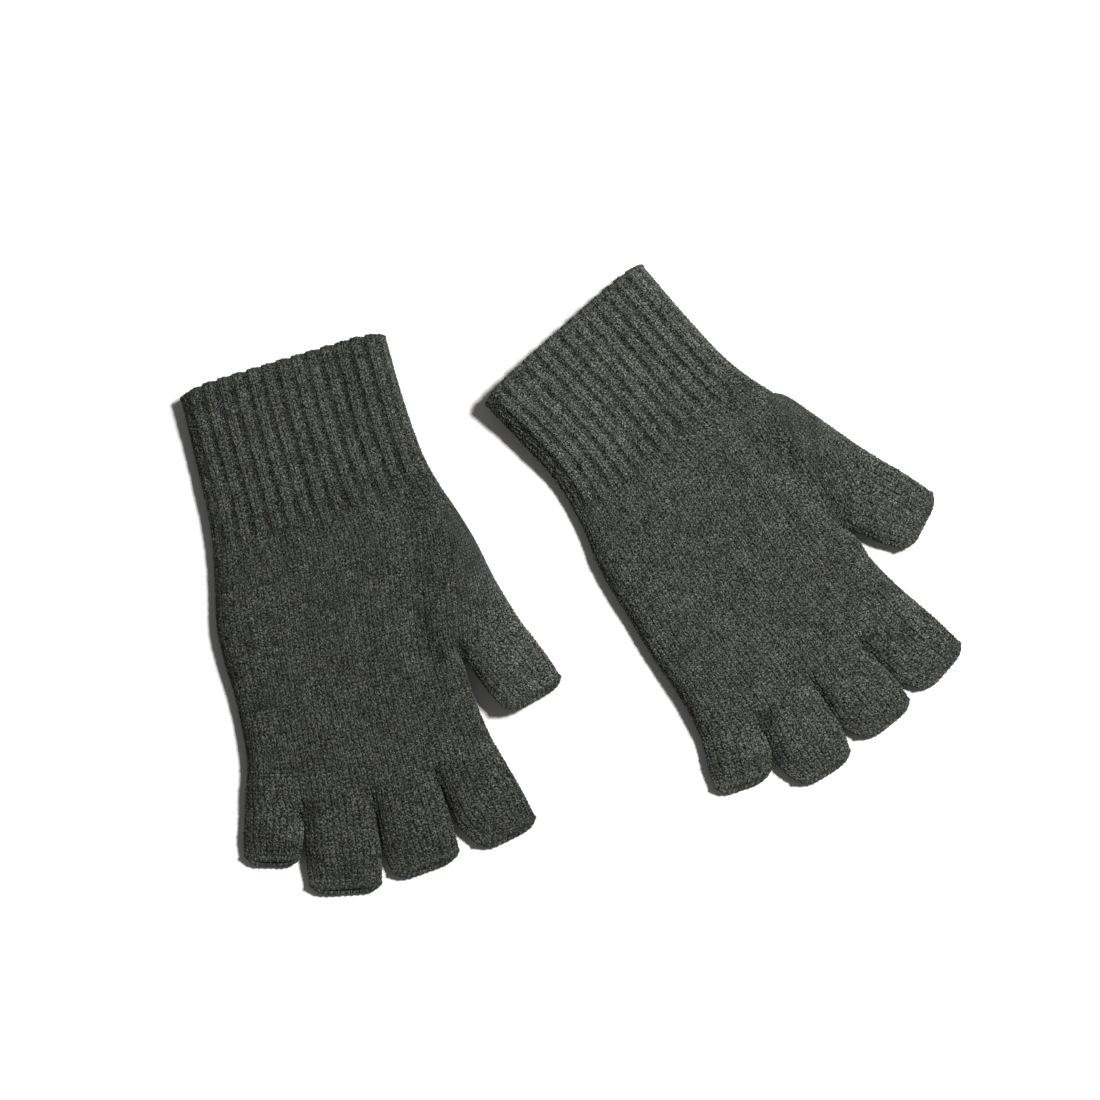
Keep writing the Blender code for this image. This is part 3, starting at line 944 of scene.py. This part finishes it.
def part_of_ring(ring, first_wale, wales):
    """The part of a wide ring that a narrower tube goes on from, as a ring of its own."""
    cells = slice(first_wale * CELLS_ACROSS, (first_wale + wales) * CELLS_ACROSS + 1)
    return ring_of(top_of(ring)[cells], under_of(ring)[cells])


def half_of(cloth, face, mirror, turned_face):
    """The back or the palm half of a ring of cloth, as a sheet."""
    pick = top_of if face == "back" else under_of
    half = Cloth(*(np.array([pick(row) for row in grid]) for grid in cloth))
    if face == "palm":
        half.uv[:, (0, -1), 0] = mirror - half.uv[:, (0, -1), 0]
    if face == turned_face:
        half = Cloth(*(grid[:, ::-1] for grid in half))
    return half


class Glove:
    """One glove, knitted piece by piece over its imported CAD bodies."""

    def __init__(self, side, table, index):
        self.side = side
        self.table = table
        fold = joint(f"{side}_wrist_fold")
        self.turn = math.atan2(fold["axis"][1], fold["axis"][0]) - math.radians(table["cuff_lean_deg"])
        self.place = np.array([*fold["pos_m"][:2], 0.0])
        self.phase = FIRST_PHASE + index * PHASE_STEP
        self.rng = np.random.default_rng(SEED + index)
        self.loop_heights = self.rng.random(LOOP_TABLE)
        self.lint = np.clip(self.rng.normal(size=FUZZ_TABLE), -FUZZ_LIMIT, FUZZ_LIMIT)
        tone = table["tone"]
        self.materials = {
            "hand": yarn_material(f"{side}_hand_yarn", tone),
            "rib": yarn_material(f"{side}_rib_yarn", tone),
            # painted light: a paler copy of the yarn for the bound edges
            "edge": yarn_material(f"{side}_edge_painted_light_yarn", tone * EDGE_PAINTED_LIGHT),
            # painted shade: a darker copy of the yarn for the loops at the crotches
            "stitch": yarn_material(f"{side}_joining_painted_shade_yarn", tone * JOINING_PAINTED_SHADE),
        }

    def world(self, points):
        return turned(points, self.turn) + self.place

    def placed(self, cloth):
        normal = turned(cloth.normal, self.turn)
        return cloth._replace(outer=self.world(cloth.outer), base=self.world(cloth.base), normal=normal)

    def add(self, obj, body, material, node, blend=None):
        """Gives a piece its yarn and hides the CAD node it stands for; a piece without blend is also given
        its body to move with.
        """
        obj.data.materials.append(self.materials[material])
        if blend is None:
            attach(obj, body)
        else:
            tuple(blend[0])
            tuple(blend[1])
            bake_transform(obj)
        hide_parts(node)

    def loosen(self, grid):
        press_creases(grid, self.table["creases"])
        undulate(grid, self.phase)

    def fuzz(self, wale, course):
        column = np.rint(wale * CELLS_ACROSS).astype(int)
        row = np.rint(course * CELLS_ALONG).astype(int)
        return self.lint[row % self.lint.shape[0], column % self.lint.shape[1]]

    def plain_knit(self, grid, normal, first_course, first_wale):
        """Cloth of plain knit over a base surface; painted light makes it paler towards the thumb, and its
        relief value carries painted shade.
        """
        wale, course = stitch_coordinates(grid, first_course, first_wale, MIRROR, 1)
        relief = stitch_relief(wale, course, self.loop_heights)
        across = np.roll(grid, -1, axis=1) - np.roll(grid, 1, axis=1)
        full = clip01(np.linalg.norm(across, axis=2) / 2 * CELLS_ACROSS / FULL_WALE)
        rough = self.fuzz(wale, course) * full * clip01(course / FUZZ_START)
        height = (relief - BASE_LEVEL) * STITCH_RELIEF * full + rough * FUZZ_RELIEF
        # painted light: the thumb is painted paler
        share = clip01((np.minimum(wale, MIRROR - wale) - PALM_WALES) / WALES["thumb"])
        tone = 1 + self.table["thumb_tone"] * share ** 0.7 * smooth(course / HAND_COURSES[0])
        uv = np.stack([wale, course], axis=-1)
        # painted shade: the relief and fuzz values darken the grooves and lower points through the yarn's
        # shading
        return Cloth(grid + normal * height[..., None], grid, normal, uv, relief + rough * FUZZ_PAINTED_SHADE, tone)

    def ribbed_knit(self, grid, normal):
        """Cloth of the cuff piece: some courses of plain knit, then ribs, shallower at the sides."""
        rows, cols = grid.shape[:2]
        wale, course = stitch_coordinates(grid, 0, 0, 2 * CUFF_WALES, -1)
        done = np.arange(rows)[:, None] / CELLS_ALONG
        ribbed = ease(done, *RIB_START)
        fine, ribs = rib_relief(wale, course, self.loop_heights)
        relief = stitch_relief(wale + 0.5, course, self.loop_heights) * (1 - ribbed) + fine * ribbed
        rough = self.fuzz(wale, course) * clip01(-course / FUZZ_START)
        from_side = np.minimum(wale % CUFF_WALES, CUFF_WALES - wale % CUFF_WALES)
        ribs = 1 - ribbed * (0.10 + 0.90 * ease(from_side, *SIDE_WALES)) * (1 - ribs)
        height = (relief - BASE_LEVEL) * STITCH_RELIEF + rough * FUZZ_RELIEF
        height = height + (ribs - RIB_BASE_LEVEL) * ribbed * RIB_RELIEF
        outer = grid + normal * height[..., None]
        at_mouth = ease(np.arange(rows)[:, None] / (rows - 1), WELT_START, 1)
        outer[..., 1] += (ribs - 0.6) * WELT_SCALLOP * at_mouth
        # painted shade: the furrows between the ribs and the lower fuzz points are painted darker
        shade = relief * (0.80 + 0.20 * ribs) + rough * FUZZ_PAINTED_SHADE
        tone = 1 + self.table["cuff_tone"] * ease(done, *CUFF_TONE_COURSES) + np.zeros(cols)
        uv = np.stack([wale + CUFF_WALE_SHIFT, course], axis=-1)
        return Cloth(outer, grid, normal, uv, shade, tone)

    def bound_edge(self, name, cloth, mouth, seat, wales, body):
        """The bound edge round a mouth, whose last ring of points is given."""
        out = turned(cloth.normal[-1], self.turn)
        ahead = unit(self.world(cloth.base[-1]) - self.world(cloth.base[-3]))
        centres = self.world(mouth) - out * FABRIC * seat[0] + ahead * seat[1]
        self.add(rim(name, centres, out, ahead, 2 * wales, self.rng), body, "edge", name)

    def knit_hand(self, gusset, palm):
        """The hand down to the finger roots, as four sheets."""
        body = f"{self.side}_hand"
        for face in ("back", "palm"):
            for part, cloth in (("gusset", gusset), ("hand", palm)):
                half = self.placed(half_of(cloth, face, MIRROR, "palm"))
                self.add(shell(f"{self.side}_{part}_{face}", half), body, "hand", body)

    def knit_digit(self, name, cloth):
        """A finger or thumb tube with its bound edge."""
        body = f"{self.side}_{name}"
        blend = bend(f"{body}_fold", BLEND_REACH / 2)
        self.add(shell(body, self.placed(cloth), MIRROR), body, "hand", body, blend)
        self.bound_edge(f"{body}_castoff", cloth, cloth.base[-1], CASTOFF_SEAT, WALES[name], body)

    def join_crotch(self, first, second, roots):
        """The loops of yarn that join two digits where they part."""
        if second == "thumb":
            near, node = self.table["index_edge"][1], f"{self.side}_crotch_thumb"
        else:
            near, node = self.table["ends"][first][1], f"{self.side}_crotch_{first}_{second}"
        root, far = roots[second][0], self.table["ends"][second][0]
        ahead = unit(unit(np.array(near) - root) + unit(np.array(far) - root))
        across = np.array([-ahead[1], ahead[0]])
        points, faces, uv = bights(root, ahead, across)
        relief = np.full(len(points), BIGHT_RELIEF)
        obj = mesh_from(f"{node}_yarn", self.world(points), faces, uv, relief)
        self.add(obj, f"{self.side}_hand", "stitch", node)

    def knit_cuff(self):
        """The cuff in a back and a palm half, and the welt round its mouth."""
        grid = turned(cuff_grid(self.table), math.radians(self.table["cuff_lean_deg"]))
        self.loosen(grid)
        cloth = self.ribbed_knit(grid, -ring_normals(grid))
        body = f"{self.side}_cuff"
        rib = f"{body}_rib"
        blend = bend(f"{self.side}_wrist_fold", WRIST_REACH)
        for face in ("back", "palm"):
            half = self.placed(half_of(cloth, face, 2 * (CUFF_WALE_SHIFT + CUFF_WALES), "back"))
            self.add(shell(f"{rib}_{face}", half), body, "rib", rib, blend)
        self.bound_edge(f"{body}_welt", cloth, cloth.outer[-1], WELT_SEAT, CUFF_WALES, body)

    def knit(self):
        gusset, palm, roots = hand_grids(self.table)
        digits = {}
        for name in WALES:
            lift = self.table["thumb_lift"] if name == "thumb" else 0.0
            ends, bellies = self.table["ends"][name], self.table["bellies"][name]
            digits[name] = digit_grid(name, roots[name], ends, bellies, lift)
        for grid in (gusset, palm, *digits.values()):
            self.loosen(grid)
        before_fingers = part_of_ring(gusset[-2], 0, PALM_WALES)
        after_gusset = joined_rings([palm[1], digits["thumb"][1]])
        after_palm = joined_rings([digits[name][1] for name in FINGERS])
        gusset_normals = ring_normals(gusset, after=after_gusset)
        palm_normals = ring_normals(palm, before=before_fingers, after=after_palm)
        self.knit_hand(
            self.plain_knit(gusset, gusset_normals, 0, 0),
            self.plain_knit(palm, palm_normals, HAND_COURSES[0], 0),
        )
        first_wale = 0
        for name in WALES:
            before = gusset[-2] if name == "thumb" else palm[-2]
            first_course = HAND_COURSES[0] if name == "thumb" else sum(HAND_COURSES)
            normals = ring_normals(digits[name], before=part_of_ring(before, first_wale, WALES[name]))
            self.knit_digit(name, self.plain_knit(digits[name], normals, first_course, first_wale))
            first_wale += WALES[name]
        for first, second in CROTCHES:
            self.join_crotch(first, second, roots)
        self.knit_cuff()


# ---- stage


def aim(obj, target):
    obj.rotation_euler = (Vector(target) - obj.location).to_track_quat("-Z", "Y").to_euler()


def make_floor():
    mesh = bpy.data.meshes.new("floor")
    corners = [(x * FLOOR_HALF, y * FLOOR_HALF, 0) for x, y in ((-1, -1), (1, -1), (1, 1), (-1, 1))]
    mesh.from_pydata(corners, [], [(0, 1, 2, 3)])
    mesh.materials.append(paper_material())
    linked("floor", mesh)


def make_light():
    data = bpy.data.lights.new("key", "AREA")
    data.shape = "SQUARE"
    data.size = KEY_SIZE
    data.energy = KEY_POWER
    light = linked("key", data)
    light.location = KEY_PLACE
    aim(light, (0, 0, 0))
    world = bpy.data.worlds.new("studio")
    world.use_nodes = True
    background = world.node_tree.nodes["Background"]
    background.inputs[0].default_value = (1.0, 1.0, 1.0, 1.0)
    background.inputs[1].default_value = WORLD_STRENGTH
    bpy.context.scene.world = world


def make_camera():
    data = bpy.data.cameras.new("camera")
    data.sensor_fit = "HORIZONTAL"
    data.angle = math.radians(CAMERA_FIELD_DEG)
    data.clip_end = 20
    camera = linked("camera", data)
    tilt = math.radians(CAMERA_ELEVATION_DEG)
    back, up = CAMERA_DISTANCE * math.cos(tilt), CAMERA_DISTANCE * math.sin(tilt)
    camera.location = (CAMERA_AIM[0], CAMERA_AIM[1] - back, CAMERA_AIM[2] + up)
    aim(camera, CAMERA_AIM)
    bpy.context.scene.camera = camera
    bpy.context.scene.view_settings.view_transform = "Standard"


for order, (side_name, glove_table) in enumerate(GLOVES.items()):
    Glove(side_name, glove_table, order).knit()
make_floor()
make_light()
make_camera()
